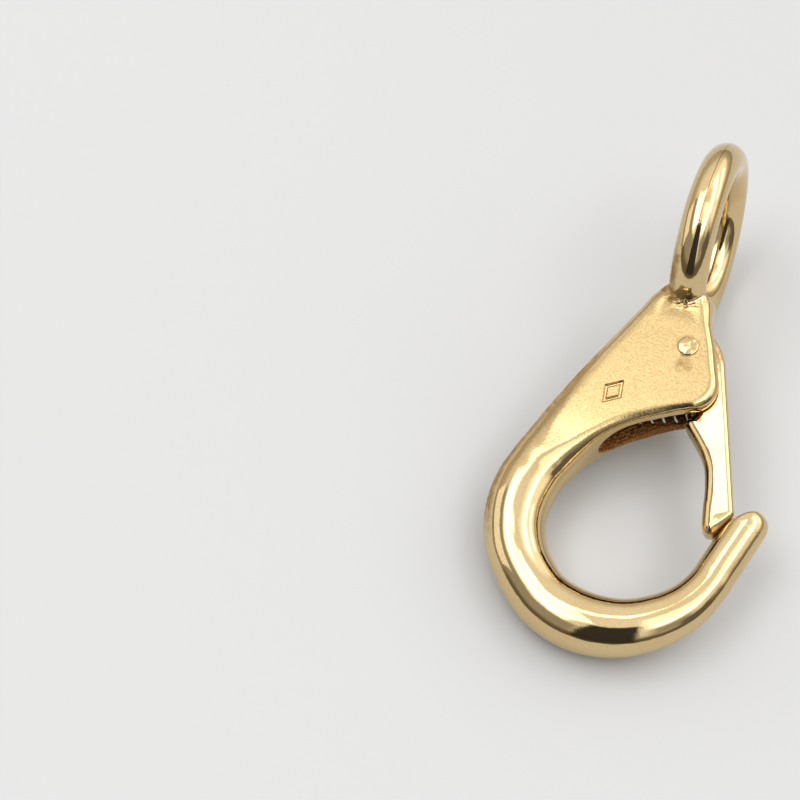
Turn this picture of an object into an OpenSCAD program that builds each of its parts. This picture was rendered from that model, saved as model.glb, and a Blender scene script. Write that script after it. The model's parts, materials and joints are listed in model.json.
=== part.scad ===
// Cast brass snap hook with a rigid round eye, a flat slotted head, a round bend and a
// spring gate that turns on a rivet.
// Lengths are in mm. Each piece is drawn in the hook's own axes: x across the hook with
// the gate on the right, y along the hook towards the eye, z out of its front face.
// at_rest() then lays the whole hook on the floor as it comes to rest by itself.

/* [Eye] */
// Radius of the eye's centre line
eye_r = 13.2; // [12.8:0.1:13.6]
// Diameter of the eye's round section
eye_d = 6; // [5.8:0.1:6.4]

/* [Head] */
// Thickness of the head over both flat faces
head_t = 9.6; // [9.2:0.1:10]
// Width of the slot between the two cheeks
slot_w = 5.6; // [5.4:0.1:6]
// Depth of the lozenge sunk in the front face
mark_depth = 0.3; // [0.1:0.05:0.5]

/* [Bend] */
// Radius of the bend's centre line
bend_r = 16.5; // [16.3:0.1:16.7]
// Diameter of the bend's rod
rod_d = 10; // [9.8:0.1:10.2]
// Diameter of the nose
nose_d = 6.2; // [6:0.1:6.5]

/* [Gate] */
// Thickness of the gate
gate_t = 4.9; // [4.6:0.1:5.2]
// Radius of the gate's round hub
hub_r = 4.9; // [4.7:0.1:5.1]
// Rounding of the gate's long edges
gate_edge = 0.9; // [0.5:0.1:0.9]
// Gap between the closed gate and its seat on the nose
seat_gap = 0.06; // [0.02:0.01:0.2]

/* [Rivet] */
// Diameter of the rivet's pin
pin_d = 3.2; // [3:0.1:3.4]
// Gap all round between the pin and its bores
pin_gap = 0.05; // [0.02:0.01:0.08]
// Height of each domed rivet end above the face
dome_h = 0.35; // [0.2:0.05:0.5]

/* [Spring] */
// Outer diameter of the spring
coil_d = 4.2; // [3.8:0.1:4.4]
// Diameter of the spring's wire
wire_d = 0.5; // [0.4:0.05:0.6]
// Number of open turns
open_turns = 6; // [4:0.5:7]

/* [Hidden] */
$fn = 48;

// Where the hook comes to rest: its long axis pitches up to the eye and it rolls over
// its shank side, then the base centre of its box goes to the origin.
rest_pitch = 9.15;
rest_roll = -5.5;
rest_shift = [-0.74, -46.37, 4.1];

brass = [0.86, 0.72, 0.4];
steel = [0.75, 0.76, 0.78];

eye_centre = [0, 76, 0];
pivot = [3.08, 53.14, 0];
bore_r = pin_d / 2 + pin_gap;
head_h = head_t / 2;

// The head and shank, a row for each cross-section from the eye down to the bend:
// left edge x and y, right edge x and y, half thickness,
// width of the rounding on the left, width and height of the rounding on the right
head_rows = [
    [-3.60, 63.60, 3.40, 63.20, head_h - 2.2, 1.6, 1.4, 1.2],
    [-4.10, 63.10, 3.90, 62.80, head_h - 1.2, 2.0, 1.4, 1.4],
    [-4.70, 62.20, 4.20, 61.90, head_h - 0.4, 2.2, 1.3, 1.5],
    [-5.43, 60.90, 4.60, 60.40, head_h, 2.4, 1.2, 1.5],
    [-6.52, 58.50, 5.60, 58.00, head_h, 2.5, 1.2, 1.5],
    [-7.88, 55.50, 7.30, 54.20, head_h, 2.6, 1.2, 1.5],
    [-9.01, 53.00, 8.50, 50.90, head_h, 2.7, 1.2, 1.5],
    [-9.92, 51.00, 9.40, 48.40, head_h, 2.8, 1.2, 1.5],
    [-10.60, 49.50, 9.55, 46.60, head_h, 2.9, 1.3, 1.5],
    [-11.19, 48.20, 8.90, 45.00, head_h, 3.0, 1.6, 1.5],
    [-11.64, 47.20, 7.70, 43.80, head_h, 3.1, 1.8, 1.5],
    [-12.09, 46.20, 6.20, 43.10, head_h, 3.2, 1.9, 1.5],
    [-12.64, 45.00, 4.00, 42.10, head_h, 3.3, 1.9, 1.5],
    [-13.32, 43.50, 1.40, 40.60, head_h, 3.4, 1.8, 1.6],
    [-14.00, 42.00, -1.00, 39.10, head_h, 3.5, 1.8, 1.8],
    [-14.68, 40.50, -2.80, 37.60, head_h, 3.7, 1.8, 2.0],
    [-15.36, 39.00, -4.30, 35.90, head_h, 3.9, 1.9, 2.4],
    [-16.13, 37.30, -5.90, 33.90, head_h, 4.2, 2.2, 3.0],
    [-16.88, 35.45, -7.20, 31.60, head_h, 4.6, 2.9, 3.8],
    [-17.68, 33.40, -8.35, 29.40, head_h + 0.1, 4.8, 3.9, 4.4],
    [-18.42, 31.60, -9.10, 27.70, head_h + 0.2, 4.9, 4.6, 4.7],
    [-19.20, 29.20, -9.65, 26.35, rod_d / 2, 5.0, 4.9, 4.9]
];

// The bend: its centre, and a row for each angle round it: angle, how far the centre line
// lies outside bend_r, how much wider than rod_d / 2 the rod is
bend_centre = [1, 23];
bend_rows = [
    [172, -0.31, 0.06], [184, -0.18, 0.00], [196, -0.08, -0.11], [208, 0.00, -0.16],
    [220, -0.02, -0.32], [232, 0.05, -0.36], [244, 0.28, -0.32], [256, 0.29, -0.24],
    [268, 0.25, -0.27], [280, 0.18, -0.43], [292, 0.10, -0.69], [304, -0.03, -0.95],
    [316, -0.03, -1.26], [328, -0.07, -1.58], [340, -0.17, -1.85]
];

// The nose: centre of its rounded tip, steps along it, and the tip's profile as shares of
// the nose's radius along and across it
nose_tip = [19.1, 27.1];
nose_steps = [0.25, 0.5, 0.75, 1];
tip_profile = [
    [0.33, 1], [0.62, 0.98], [0.86, 0.87], [1.02, 0.68], [1.1, 0.43], [1.13, 0.15]
];

// What is cut away from the nose for the seat, and the seat's direction
seat_outline = [[12.82, 21.50], [16.50, 27.40], [21.10, 31.25], [16, 36], [8, 30]];
seat_angle = 58;

// Cross-sections are ellipse quarters in these steps, closed by the flat faces
section_angles = [-80, -60, -40, -20, 0, 20, 40, 60, 80];
rows_between = 2;

// The slot: its closed side from the bend up to the hub, and its round lower end
slot_side = [
    [-5.20, 33.80], [-4.90, 37.20], [-4.66, 38.40], [-6.34, 43.30],
    [-3.60, 48.50], [-2.60, 52.00], [3.08, 59.00], [20.00, 59.00], [20.00, 30.00]
];
slot_end = [-3.9, 36.2, 0];
slot_end_angle = 56;
slot_end_len = 12;

// What is cut away from the lower edge of the back cheek, which stops short of the front one
back_trim = [
    [-1.40, 38.70], [1.20, 40.85], [3.85, 42.50], [6.00, 43.55], [7.40, 44.20],
    [9.00, 44.60], [12.00, 40.00], [0.00, 34.00]
];
hub_gap = 0.5;

// The gate below its hub, a row for each cross-section down to its tip:
// left edge x and y, right edge x and y
gate_rows = [
    [3.20, 54.50, 6.90, 56.10], [3.20, 52.50, 7.75, 55.35], [3.40, 51.00, 8.50, 54.20],
    [4.00, 49.60, 9.20, 52.75], [5.50, 47.65, 10.40, 49.14], [6.25, 45.45, 11.31, 46.40],
    [7.00, 43.25, 12.10, 44.00], [6.50, 42.90, 12.35, 43.26], [6.05, 42.15, 12.65, 42.35],
    [5.95, 41.45, 12.95, 41.45], [6.45, 40.75, 13.25, 40.55], [7.40, 39.75, 13.60, 39.50],
    [8.40, 38.65, 13.95, 38.44], [9.35, 37.50, 14.30, 37.39], [10.15, 36.25, 14.70, 36.18],
    [10.80, 35.00, 15.10, 34.98], [11.30, 33.50, 15.60, 33.47], [11.70, 32.00, 16.05, 32.11],
    [12.02, 30.50, 16.50, 30.75], [12.25, 29.00, 16.90, 29.55], [12.55, 27.60, 17.12, 28.85],
    [12.85, 26.20, 17.00, 28.20], [13.25, 25.30, 16.30, 27.08], [13.85, 24.80, 15.60, 25.96],
    [14.50, 24.75, 15.00, 25.00]
];

// The spring: where its axis meets the slot's side, its direction, and its free length
spring_from = [-5.5, 40.85, 0];
spring_angle = 18.8;
spring_seat_gap = 0.1;
spring_len = 12.6 - 2 * spring_seat_gap;
closed_turns = 0.75;
steps_per_turn = 16;
wire_angles = [0, 60, 120, 180, 240, 300];

// The sunk lozenge: centre, direction, half length, half width and stroke
mark_at = [-5.92, 42.4];
mark_angle = 65;
mark_half = [2.5, 1.7];
mark_stroke = 0.5;

// Point at t between rows b and c on the smooth curve through rows a, b, c, d
function between(a, b, c, d, t) =
    0.5 * (2 * b + (c - a) * t + (2 * a - 5 * b + 4 * c - d) * t * t
    + (3 * b - a - 3 * c + d) * t * t * t);

// Rows with more of them put in between, along a smooth curve
function finer(rows, n) = concat(
    [
        for (i = [0:len(rows) - 2])
            for (k = [0:n - 1])
                between(rows[max(i - 1, 0)], rows[i], rows[i + 1],
                    rows[min(i + 2, len(rows) - 1)], k / n)
    ],
    [rows[len(rows) - 1]]
);

// Row for the gate's section between a left and a right edge
function gate_row(r) = let (
    w = min(gate_edge, 0.45 * norm([r[2] - r[0], r[3] - r[1]]))
) [r[0], r[1], r[2], r[3], gate_t / 2, w, w, gate_edge, gate_edge];

// Row for a round section of radius r at centre c, with the outer side along angle a
function round_row(c, a, r) = [
    c[0] + r * cos(a), c[1] + r * sin(a), c[0] - r * cos(a), c[1] - r * sin(a), r, r, r, r
];

function bend_point(row) = bend_centre + (bend_r + row[1]) * [cos(row[0]), sin(row[0])];

rod_rows = [for (b = bend_rows) round_row(bend_point(b), b[0], rod_d / 2 + b[2])];
nose_start = bend_point(bend_rows[len(bend_rows) - 1]);
nose_dir = (nose_tip - nose_start) / norm(nose_tip - nose_start);
nose_side = atan2(-nose_dir[0], nose_dir[1]);

nose_rows = [
    for (t = nose_steps)
        round_row(nose_start + t * (nose_tip - nose_start), nose_side, nose_d / 2)
];
tip_rows = [
    for (p = tip_profile)
        round_row(nose_tip + p[0] * nose_d / 2 * nose_dir, nose_side, p[1] * nose_d / 2)
];

// Height of a rounding's point at angle a, for half thickness h and a rounding b high
function edge_z(h, b, a) = a == 0 ? 0 : sign(a) * (h - b + b * sin(abs(a)) / sin(80));

// Ring of points round one row's cross-section. The left rounding is as high as the
// half thickness, unless the row has a height for it at its end.
function section(r) = let (
    left = [r[0], r[1], 0],
    right = [r[2], r[3], 0],
    left_b = is_undef(r[8]) ? r[4] : r[8],
    across = (right - left) / norm(right - left)
) concat(
    [
        for (a = section_angles)
            left + across * r[5] * (1 - cos(a)) + [0, 0, edge_z(r[4], left_b, a)]
    ],
    [
        for (a = section_angles)
            right - across * r[6] * (1 - cos(a)) + [0, 0, edge_z(r[4], r[7], -a)]
    ]
);

// Solid through rings of points, all with the same number of points
module skin(rings) {
    n = len(rings[0]);
    last = len(rings) - 1;
    sides = [
        for (i = [0:last - 1])
            for (k = [0:n - 1])
                for (f = [
                    [i * n + k, i * n + (k + 1) % n, (i + 1) * n + k],
                    [i * n + (k + 1) % n, (i + 1) * n + (k + 1) % n, (i + 1) * n + k]
                ]) f
    ];
    first_cap = [[for (k = [n - 1:-1:0]) k]];
    last_cap = [[for (k = [0:n - 1]) last * n + k]];
    polyhedron([for (ring = rings) for (p = ring) p], concat(sides, first_cap, last_cap));
}

module casting() {
    rows = concat(finer(concat(head_rows, rod_rows, nose_rows), rows_between), tip_rows);
    skin([for (r = rows) section(r)]);
}

module eye() {
    translate(eye_centre)
        rotate([0, 90, 0])
            rotate_extrude()
                translate([eye_r, 0])
                    circle(d = eye_d);
}

module slot() {
    linear_extrude(slot_w, center = true)
        polygon(slot_side);
    translate(pivot)
        cylinder(h = slot_w, r = hub_r + hub_gap, center = true);
    translate(slot_end)
        rotate([0, 0, slot_end_angle])
            rotate([90, 0, 0])
                cylinder(h = slot_end_len, d = slot_w, center = true);
    translate([0, 0, -head_t])
        linear_extrude(head_t - slot_w / 2 + 0.5)
            polygon(back_trim);
}

module seat() {
    translate(seat_gap * [sin(seat_angle), -cos(seat_angle), 0])
        linear_extrude(2 * nose_d, center = true)
            polygon(seat_outline);
}

module mark() {
    translate([mark_at[0], mark_at[1], head_h - mark_depth])
        rotate([0, 0, mark_angle])
            linear_extrude(1)
                difference() {
                    lozenge(mark_half);
                    lozenge(mark_half - [1.4, 1] * mark_stroke);
                }
}

module lozenge(half) {
    polygon([[half[0], 0], [0, half[1]], [-half[0], 0], [0, -half[1]]]);
}

module bore(length) {
    translate(pivot)
        cylinder(h = length, r = bore_r, center = true);
}

module at_rest() {
    translate(rest_shift)
        rotate([rest_pitch, rest_roll, 0])
            children();
}

module body() {
    color(brass)
        at_rest()
            difference() {
                union() {
                    casting();
                    eye();
                }
                slot();
                seat();
                mark();
                bore(2 * head_t);
            }
}

module lever() {
    skin([for (r = gate_rows) section(gate_row(r))]);
}

module hub() {
    translate([pivot[0], pivot[1], -gate_t / 2])
        rotate_extrude()
            union() {
                square([hub_r - gate_edge, gate_t]);
                translate([0, gate_edge])
                    square([hub_r, gate_t - 2 * gate_edge]);
                for (z = [gate_edge, gate_t - gate_edge])
                    translate([hub_r - gate_edge, z])
                        circle(gate_edge);
            }
}

module gate() {
    color(brass)
        at_rest()
            difference() {
                union() {
                    lever();
                    hub();
                }
                bore(2 * gate_t);
            }
}

module rivet() {
    head_r = pin_d / 2 + 0.15;
    dome_r = (head_r * head_r + dome_h * dome_h) / (2 * dome_h);
    face = head_h + 0.02;
    color(brass)
        at_rest()
            translate(pivot) {
                cylinder(h = 2 * face, d = pin_d, center = true);
                for (side = [0, 1])
                    mirror([0, 0, side])
                        intersection() {
                            translate([0, 0, face + dome_h - dome_r])
                                sphere(dome_r);
                            translate([0, 0, face])
                                cylinder(h = dome_h + 1, r = head_r);
                        }
            }
}

// Share of the spring's length reached after so many turns
function spring_z(turns) = let (
    closed = closed_turns * wire_d,
    open_len = spring_len - wire_d - 2 * closed,
    t = turns - closed_turns
) wire_d / 2 + (t < 0 ? turns * wire_d
    : t > open_turns ? closed + open_len + (t - open_turns) * wire_d
    : closed + open_len * t / open_turns);

module spring() {
    turns = open_turns + 2 * closed_turns;
    steps = round(turns * steps_per_turn);
    coil_r = (coil_d - wire_d) / 2;
    color(steel)
        at_rest()
            translate(spring_from)
                rotate([0, 0, spring_angle])
                    translate([spring_seat_gap, 0, 0])
                        rotate([0, 90, 0])
                            skin([
                                for (i = [0:steps]) let (a = 360 * turns * i / steps) [
                                    for (w = wire_angles) [
                                        (coil_r + wire_d / 2 * cos(w)) * cos(a),
                                        (coil_r + wire_d / 2 * cos(w)) * sin(a),
                                        spring_z(turns * i / steps) + wire_d / 2 * sin(w)
                                    ]
                                ]
                            ]);
}

body();
gate();
rivet();
spring();
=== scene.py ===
"""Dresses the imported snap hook: cast brass body and gate, rivet and spring."""

import json
import logging
import math
from dataclasses import dataclass, field
from enum import Enum
from typing import ClassVar

import bmesh
import bpy
import numpy as np
from mathutils import Matrix, Vector

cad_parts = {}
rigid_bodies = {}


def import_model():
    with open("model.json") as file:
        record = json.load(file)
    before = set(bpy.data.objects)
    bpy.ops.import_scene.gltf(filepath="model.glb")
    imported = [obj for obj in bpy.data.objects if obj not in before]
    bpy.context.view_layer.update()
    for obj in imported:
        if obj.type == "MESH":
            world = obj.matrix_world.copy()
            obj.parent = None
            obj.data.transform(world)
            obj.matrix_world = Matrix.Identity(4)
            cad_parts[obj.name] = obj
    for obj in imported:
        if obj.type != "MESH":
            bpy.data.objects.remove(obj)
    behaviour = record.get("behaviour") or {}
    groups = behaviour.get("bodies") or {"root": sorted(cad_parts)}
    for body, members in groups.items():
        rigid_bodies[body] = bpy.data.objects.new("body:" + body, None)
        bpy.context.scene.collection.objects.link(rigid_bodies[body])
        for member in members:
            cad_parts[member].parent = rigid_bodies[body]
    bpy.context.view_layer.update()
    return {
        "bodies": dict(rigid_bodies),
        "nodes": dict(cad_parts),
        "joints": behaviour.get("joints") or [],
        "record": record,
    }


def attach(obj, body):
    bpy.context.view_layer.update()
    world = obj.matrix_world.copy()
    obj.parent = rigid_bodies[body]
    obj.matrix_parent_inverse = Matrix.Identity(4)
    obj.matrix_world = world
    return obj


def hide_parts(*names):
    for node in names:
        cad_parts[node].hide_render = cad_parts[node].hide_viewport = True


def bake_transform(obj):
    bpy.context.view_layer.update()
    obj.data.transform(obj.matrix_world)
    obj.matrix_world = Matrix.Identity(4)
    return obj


Array = np.ndarray
LOG = logging.getLogger("snap_hook")
MM = 0.001
PHOTO_PIXELS = 800


# ---- Where the hook lies ----


@dataclass(frozen=True)
class HookAxes:
    """The hook's own axes in millimetres, and how they lie in the frame.

    x runs across the hook with the gate on the right, y along it towards the eye, z out
    of its front face.
    """

    turn: Array
    shift: Array

    @classmethod
    def from_frame(cls, frame: dict, pivot: Array) -> "HookAxes":
        """Finds the axes from the gate's hinge and the eye's mount.

        Args:
            pivot: The hinge's place in the hook's own axes.

        Returns:
            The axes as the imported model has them.
        """
        hinge = frame["joints"][0]
        front = -np.array(hinge["axis"], float)
        front /= np.linalg.norm(front)
        eye = next(m for m in frame["record"]["mounts"] if m["name"] == "eye")
        across = np.array(eye["axis"], float)
        across -= front * (across @ front)
        across /= np.linalg.norm(across)
        turn = np.column_stack([across, np.cross(front, across), front])
        return cls(turn, np.array(hinge["pos_m"], float) / MM - turn @ pivot)

    def place(self, points: Array) -> Array:
        """Turns points in the hook's own axes into metres in the frame."""
        return (points @ self.turn.T + self.shift) * MM

    def point(self, x: float, y: float, z: float) -> Vector:
        """Turns one point of the hook into metres in the frame."""
        return Vector(self.place(np.array([[x, y, z]], float))[0])

    def direction(self, x: float, y: float, z: float) -> Vector:
        """Turns one direction of the hook into the frame."""
        return Vector(self.turn @ np.array([x, y, z], float)).normalized()


# ---- Sums on points and directions ----

# The least length that anything is divided by.
TINY = 1e-9


def spot(*place: float) -> Array:
    """A dataclass field that holds one place or direction."""
    return field(default_factory=lambda: np.array(place))


def plan_points(*pairs: tuple[float, float]) -> Array:
    """Points in plan, one a row."""
    return np.array(pairs)


def heading(degrees: float) -> Array:
    """Direction in plan at so many degrees from the x axis."""
    turn = math.radians(degrees)
    return np.array([math.cos(turn), math.sin(turn)])


def right_of(way: Array) -> Array:
    """Direction in plan a quarter turn to the right of another."""
    return np.array([way[1], -way[0]])


def circle(count: int) -> Array:
    """Directions in plan, evenly spaced all round."""
    turn = np.arange(count) * 2 * math.pi / count
    return np.column_stack([np.cos(turn), np.sin(turn)])


def apart(p: Array, place: Array) -> Array:
    """How far points lie from a place in plan."""
    return np.hypot(p[:, 0] - place[0], p[:, 1] - place[1])


def unit_rows(rows: Array) -> Array:
    """The rows, each scaled to length 1."""
    return rows / np.maximum(np.linalg.norm(rows, axis=1), TINY)[:, None]


def ramp(values: Array, start: float, end: float) -> Array:
    """0 before the start and 1 past the end, with a smooth rise between them."""
    t = np.clip((values - start) / (end - start), 0, 1)
    return t * t * (3 - 2 * t)


# ---- Solids as distance fields, in millimetres and in the hook's own axes ----


class Solid:
    """A shape that tells how far points are from its surface, less than 0 inside."""

    def distance(self, p: Array) -> Array:
        """Distance from the surface.

        Args:
            p: Points, one a row.

        Returns:
            A distance for each point, in millimetres.
        """
        raise NotImplementedError

    def slope(self, p: Array, reach: float) -> Array:
        """Gradient of the distance at each point, by differences over the reach.

        Args:
            p: Points, one a row.
            reach: About half the length that the differences are taken over.

        Returns:
            A vector for each point.
        """
        out = np.zeros_like(p)
        for way in np.array([[1, 1, 1], [1, -1, -1], [-1, 1, -1], [-1, -1, 1]], float):
            out += self.distance(p + way * reach)[:, None] * way
        return out / (4 * reach)


def blend_in(a: Array, b: Array, width: float) -> Array:
    """Union of two distances with a fillet of that width where they meet."""
    near = np.maximum(width - np.abs(a - b), 0) / width
    return np.minimum(a, b) - near * near * width / 4


def cut_away(a: Array, b: Array, width: float) -> Array:
    """Distance a with b taken out of it, the arris eased over that width."""
    return -blend_in(-a, b, width)


def soft_ellipse(x: Array, y: Array, rx: Array, ry: Array) -> Array:
    """Distance from an ellipse about the origin, good close to it."""
    inner = np.maximum(np.hypot(x / rx, y / ry), TINY)
    outer = np.maximum(np.hypot(x / rx**2, y / ry**2), TINY)
    return inner * (inner - 1) / outer


def smooth_row(rows: Array, at: Array, t: Array) -> Array:
    """Rows on the smooth curve through a table of rows.

    Args:
        rows: The table, one row a line.
        at: Index of the row before each wanted place.
        t: How far each place lies from that row to the next, 0 to 1.

    Returns:
        The table's columns at each place.
    """
    last = len(rows) - 1
    a, b, c, d = (rows[np.clip(at + k, 0, last)] for k in (-1, 0, 1, 2))
    t = t[:, None]
    bend = (2 * a - 5 * b + 4 * c - d) + (3 * b - a - 3 * c + d) * t
    return b + 0.5 * ((c - a) * t + bend * t * t)


def smooth_loop(corners: Array, steps: int) -> Array:
    """Closed outline with more points along a smooth curve through its corners."""
    n = len(corners)
    wrapped = np.vstack([corners[-1:], corners, corners[:2]])
    at = np.repeat(np.arange(n), steps) + 1
    return smooth_row(wrapped, at, np.tile(np.arange(steps) / steps, n))


def rounded(side: Array, end: Array, radius: float) -> Array:
    """Distance from where two faces meet squarely, their arris rounded."""
    side, end = side + radius, end + radius
    outside = np.hypot(np.maximum(side, 0), np.maximum(end, 0))
    return np.minimum(np.maximum(side, end), 0) + outside - radius


def edge_ellipse(
    inward: Array, under: Array, wide: Array, high: Array, lift: Array | float = 1.0
) -> tuple[Array, Array]:
    """Rounds the edge between a side and a face along a quarter of an ellipse.

    Args:
        inward: How far each point lies inside the side.
        under: How far it lies under the face.
        wide: Width of the rounding.
        high: Its height.
        lift: How many times higher the ellipse would be if no face cut it off.

    Returns:
        Which points lie in the rounding, and the distance of each from the ellipse.
    """
    x, y = wide - inward, high - under
    inside = (x > 0) & (y > 0)
    x, y = np.where(inside, x, wide), np.where(inside, y, 0)
    return inside, soft_ellipse(x, y, wide, high * lift)


def spans(rows: Array) -> tuple[Array, Array]:
    """Width of each cross-section, and the direction across it."""
    across = rows[:, 2:4] - rows[:, :2]
    width = np.linalg.norm(across, axis=1)
    return width, across / width[:, None]


@dataclass
class RowSweep(Solid):
    """A bar through cross-sections that all stand square to the hook's middle plane.

    Attributes:
        rows: A cross-section a row. Its columns are the left edge's x and y, the right
            edge's x and y, half the thickness, the width of the rounding on the left,
            the width and height of the one on the right, the height of the one on the
            left, and that one's lift: how many times higher it would be if the face
            didn't cut it off, 1 where it runs into the face without an arris.
        arris: How far the arris between the left rounding and the face is eased.
        arris_growth: How fast the arris grows with the lift.
        far_inside: The distance beyond the ends of a point that lies between them.
        rounds: How many times a point's place down the bar is put right.
    """

    rows: Array
    arris: float = 0.3
    arris_growth: float = 6.0
    far_inside: float = -9.0
    rounds: int = 4

    def _find(self, xy: Array) -> tuple[Array, Array, Array, Array, Array]:
        """Finds the cross-section that each plan point lies in.

        Args:
            xy: Plan points, one a row.

        Returns:
            The columns there, the section's width, how far along it the point lies, how
            far it lies beyond the bar's ends, and the section's place down the bar.
        """
        left = self.rows[:, :2]
        width, across = spans(self.rows)
        side = xy @ np.column_stack([-across[:, 1], across[:, 0]]).T
        side -= -across[:, 1] * left[:, 0] + across[:, 0] * left[:, 1]
        along = xy @ across.T - (across * left).sum(1)
        over = np.abs(along - width / 2) - width / 2
        crossed = (side[:, :-1] >= 0) != (side[:, 1:] >= 0)
        cost = np.where(crossed, np.maximum(over[:, :-1], over[:, 1:]), np.inf)
        at, pick = cost.argmin(1), np.arange(len(xy))
        found = np.isfinite(cost[pick, at])
        first = over[:, 0] + np.abs(side[:, 0]) < over[:, -1] + np.abs(side[:, -1])
        at = np.where(found, at, np.where(first, 0, len(self.rows) - 2))
        before, after = side[pick, at], side[pick, at + 1]
        span = np.where(np.abs(before - after) > TINY, before - after, TINY)
        t = np.clip(before / span, 0, 1)
        for _ in range(self.rounds):
            here = smooth_row(self.rows, at, t)
            _, way = spans(here)
            off = xy - here[:, :2]
            ahead = way[:, 0] * off[:, 1] - way[:, 1] * off[:, 0]
            t = np.clip(t + ahead / span, 0, 1)
        here = smooth_row(self.rows, at, t)
        width, way = spans(here)
        along = ((xy - here[:, :2]) * way).sum(1)
        beyond = np.where(first, side[:, 0], -side[:, -1])
        beyond = np.where(found, self.far_inside, beyond)
        steps = np.diff((left + self.rows[:, 2:4]) / 2, axis=0)
        down = np.append(0, np.linalg.norm(steps, axis=1).cumsum())
        return here, width, along, beyond, down[at] * (1 - t) + down[at + 1] * t

    def half_width(self, p: Array) -> Array:
        """Half the bar's width at each point."""
        return self._find(p[:, :2])[1] / 2

    def lay(self, p: Array) -> Array:
        """Place of each point across, through and down the bar, in millimetres."""
        _, width, along, _, down = self._find(p[:, :2])
        return np.column_stack([along - width / 2, p[:, 2], down])

    def distance(self, p: Array) -> Array:
        """Distance from the bar's surface."""
        row, width, along, beyond, _ = self._find(p[:, :2])
        under = row[:, 4] - np.abs(p[:, 2])
        out = np.maximum(beyond, -under)
        left = (along, *row[:, [5, 8, 9]].T)
        right = (width - along, *row[:, [6, 7]].T, 1.0)
        for inward, wide, high, lift in (left, right):
            inside, side = edge_ellipse(inward, under, wide, high, lift)
            arris = self.arris * np.clip(self.arris_growth * (lift - 1), 1e-3, 1)
            eased = -blend_in(under, -side, arris)
            out = np.maximum(out, np.where(inside, eased, -inward))
        return out


@dataclass
class Ring(Solid):
    """A round ring that stands square to the hook."""

    centre: Array
    radius: float
    thickness: float

    def distance(self, p: Array) -> Array:
        """Distance from the ring's surface."""
        q = p - self.centre
        round_ring = np.hypot(q[:, 1], q[:, 2]) - self.radius
        return np.hypot(round_ring, q[:, 0]) - self.thickness / 2


@dataclass
class RoundTip(Solid):
    """A blunt rounded end on a round bar, pointing along the direction."""

    centre: Array
    direction: Array
    radius: float
    length: float
    bluntness: float = 3.0
    behind: float = 0.5

    def distance(self, p: Array) -> Array:
        """Distance from the tip's surface."""
        q = p[:, :2] - self.centre
        ahead = q @ self.direction
        aside = np.hypot(q @ right_of(self.direction), p[:, 2])
        share = (np.maximum(ahead, 0) / self.length) ** self.bluntness
        share += (aside / self.radius) ** self.bluntness
        reach = share ** (1 / self.bluntness)
        return np.maximum((reach - 1) * self.radius, -ahead - self.behind)


@dataclass
class Prism(Solid):
    """An outline between two heights."""

    outline: Array
    low: float
    high: float

    def plan(self, xy: Array) -> Array:
        """Distance from the outline in plan.

        Args:
            xy: Plan points, one a row.

        Returns:
            A distance for each point, less than 0 inside the outline.
        """
        best = np.full(len(xy), np.inf)
        odd = np.zeros(len(xy), bool)
        for a, b in zip(self.outline, np.roll(self.outline, -1, 0)):
            e, w = b - a, xy - a
            t = np.clip((w @ e) / max(e @ e, TINY), 0, 1)
            off = w - t[:, None] * e
            best = np.minimum(best, (off**2).sum(1))
            if a[1] != b[1]:
                crossed = (a[1] > xy[:, 1]) != (b[1] > xy[:, 1])
                odd ^= crossed & (xy[:, 0] < w[:, 1] * e[0] / e[1] + a[0])
        return np.where(odd, -1, 1) * np.sqrt(best)

    def distance(self, p: Array) -> Array:
        """Distance from the prism's surface."""
        end = np.abs(p[:, 2] - (self.low + self.high) / 2) - (self.high - self.low) / 2
        return rounded(self.plan(p[:, :2]), end, 0.0)


@dataclass
class Disc(Solid):
    """A round disc with rounded edges, square to the front face."""

    centre: Array
    radius: float
    half: float
    rounding: float = 0.0

    def distance(self, p: Array) -> Array:
        """Distance from the disc's surface."""
        side = apart(p, self.centre) - self.radius
        return rounded(side, np.abs(p[:, 2]) - self.half, self.rounding)


@dataclass
class SlotEnd(Solid):
    """The closed end of a slot, which narrows to nothing along an ellipse."""

    centre: Array
    direction: Array
    half: float
    length: float
    depth: float = 6.0
    ahead: float = 1.5

    def narrowing(self, p: Array) -> Array:
        """Distance from the slot's two walls and the ellipse that they end in."""
        ahead = (p[:, :2] - self.centre) @ self.direction
        return soft_ellipse(np.maximum(ahead, 0), p[:, 2], self.length, self.half)

    def distance(self, p: Array) -> Array:
        """Distance from the slot's end."""
        q = p[:, :2] - self.centre
        along = np.abs(q @ self.direction - self.ahead) - self.length
        return np.maximum(np.abs(q @ right_of(self.direction)) - self.depth, along)


@dataclass(frozen=True)
class Grain:
    """An uneven surface: many crossing waves with lengths between two limits."""

    shortest: float
    longest: float
    seed: int
    waves: int = 28
    swing: float = 1.4

    def __call__(self, p: Array) -> Array:
        """Adds up the waves.

        Args:
            p: Points, one a row.

        Returns:
            Height of the grain at each point, about -1 to 1.
        """
        rng = np.random.default_rng(self.seed)
        ways = unit_rows(rng.normal(size=(self.waves, 3)))
        least, most = math.log(self.shortest), math.log(self.longest)
        lengths = np.exp(rng.uniform(least, most, self.waves))
        phase = rng.uniform(0, 2 * math.pi, self.waves)
        out = np.zeros(len(p))
        for way, length, start in zip(ways, lengths, phase):
            out += np.sin(p @ way * (2 * math.pi / length) + start)
        return out * self.swing / math.sqrt(self.waves)


# ---- Meshes from distance fields ----

# A cell's corners, the ways along its edges, and the length that slopes are taken over.
CORNERS = [(i, j, k) for i in (0, 1) for j in (0, 1) for k in (0, 1)]
WAYS = np.eye(3, dtype=int)
REACH = 0.03


def shifted(values: Array, offset: tuple[int, int, int]) -> Array:
    """View of a block of samples from one corner of each of its cells."""
    return values[tuple(slice(o, n - 1 + o) for o, n in zip(offset, values.shape))]


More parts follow.
